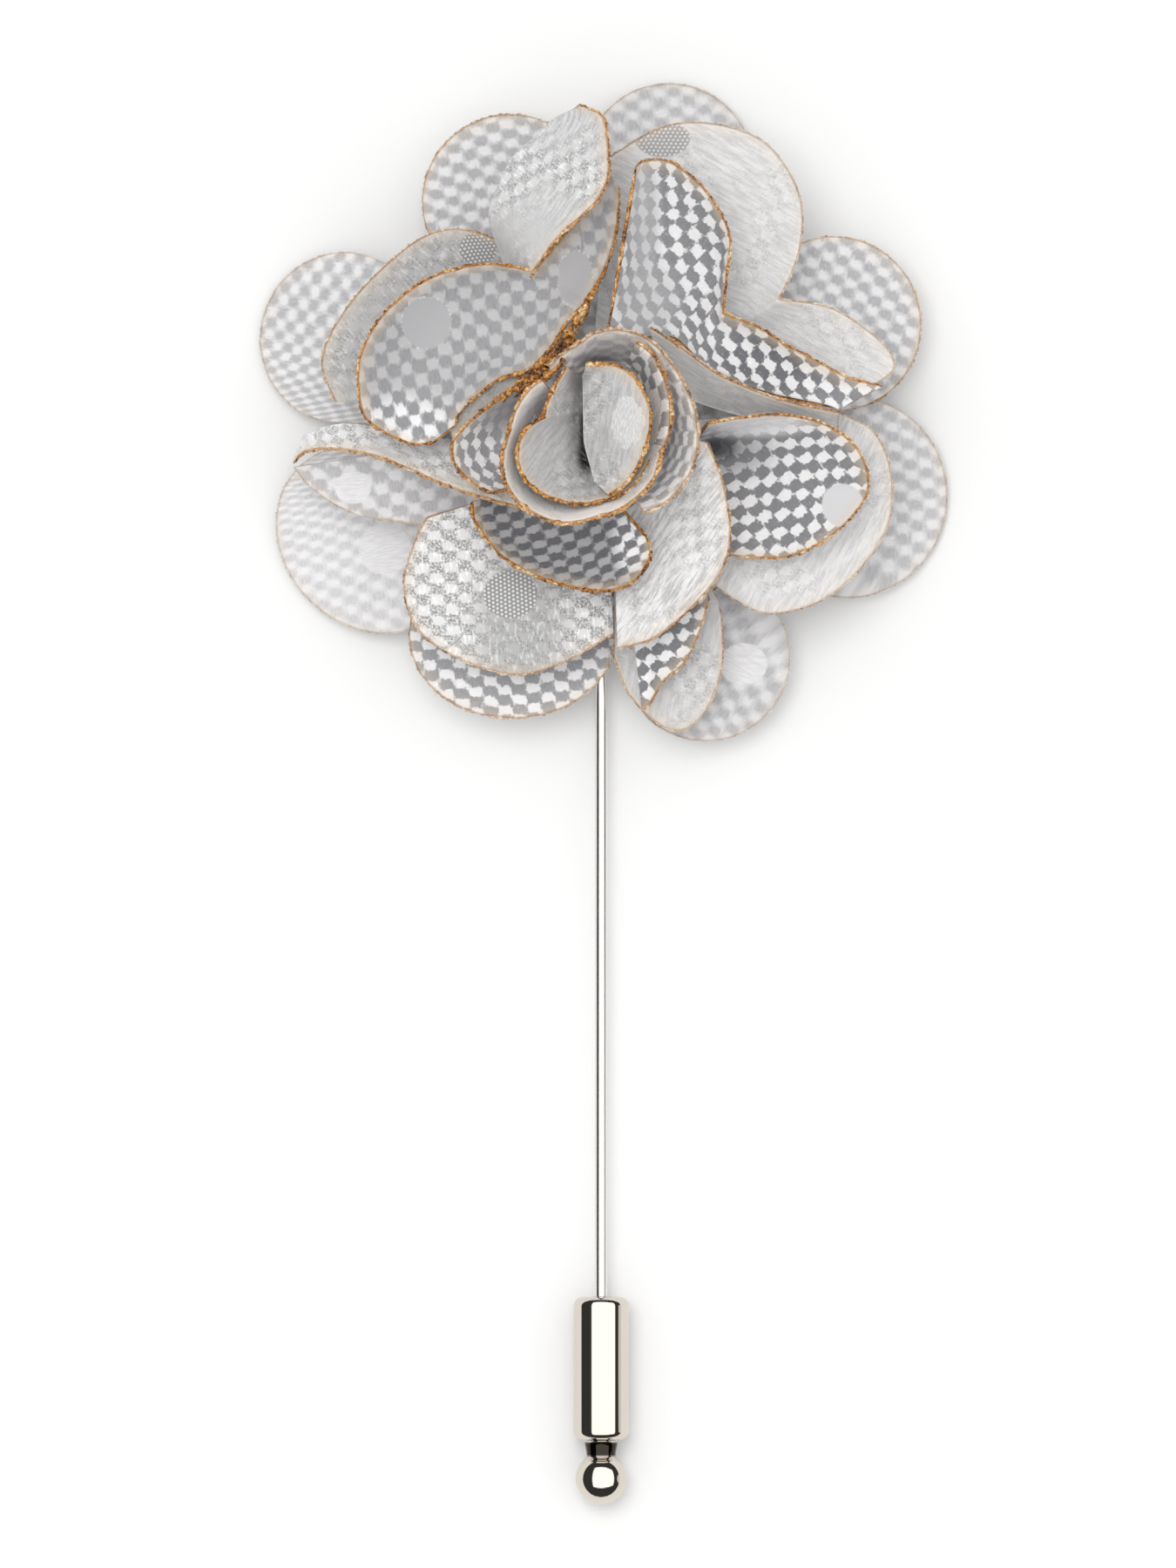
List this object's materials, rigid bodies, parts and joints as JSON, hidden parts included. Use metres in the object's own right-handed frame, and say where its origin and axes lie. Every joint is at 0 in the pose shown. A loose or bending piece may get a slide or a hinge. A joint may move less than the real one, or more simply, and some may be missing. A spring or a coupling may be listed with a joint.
{
  "type": "flower lapel pin",
  "caption": "Cloth flower with singed scalloped petals folded round a rolled bud, on a straight stick pin whose point is covered by a turned metal cap.",
  "frame": {"origin": "middle of the flower on the plane that its back bears on, which is also the surface it lies on", "axes": "+Z out of the flower's face, +Y from the needle's point towards the top of the flower, +X to the right seen from the front"},
  "size_m": [0.0491, 0.1019, 0.0197],
  "materials": {
    "cloth_front": "woven grey and white satin jacquard, singed edges",
    "cloth_reverse": "pale satin floats of the same jacquard's back",
    "needle_metal": "bright nickel plate",
    "cap_metal": "bright nickel plate"
  },
  "bodies": {
    "flower": {"upper_right_front_petal": "cloth_front", "right_front_petal": "cloth_front", "lower_right_flap": "cloth_front", "bottom_front_petal": "cloth_front", "left_back_petal": "cloth_front", "left_pocket_petal": "cloth_front", "upper_left_front_petal": "cloth_front", "rear_disc": "cloth_front", "second_disc": "cloth_front", "bud_outer_wrap": "cloth_front", "upper_right_back_petal": "cloth_reverse", "upper_right_near_petal": "cloth_reverse", "right_back_petal": "cloth_reverse", "lower_right_front_petal": "cloth_reverse", "lower_right_back_petal": "cloth_reverse", "bottom_back_petal": "cloth_reverse", "left_front_petal": "cloth_reverse", "upper_left_back_petal": "cloth_reverse", "upper_left_lobe": "cloth_reverse", "bud_right_leaf": "cloth_reverse", "bud_left_leaf": "cloth_reverse", "bud_stem": "cloth_reverse", "bud_middle_wrap": "cloth_reverse", "stick_pin": "needle_metal"},
    "cap": {"pin_cap": "cap_metal"}
  },
  "joints": [
    {"name": "cap_slide", "type": "slide", "parent": "flower", "child": "cap", "axis": [0, -1, 0], "range_m": [0, 0.02]}
  ]
}
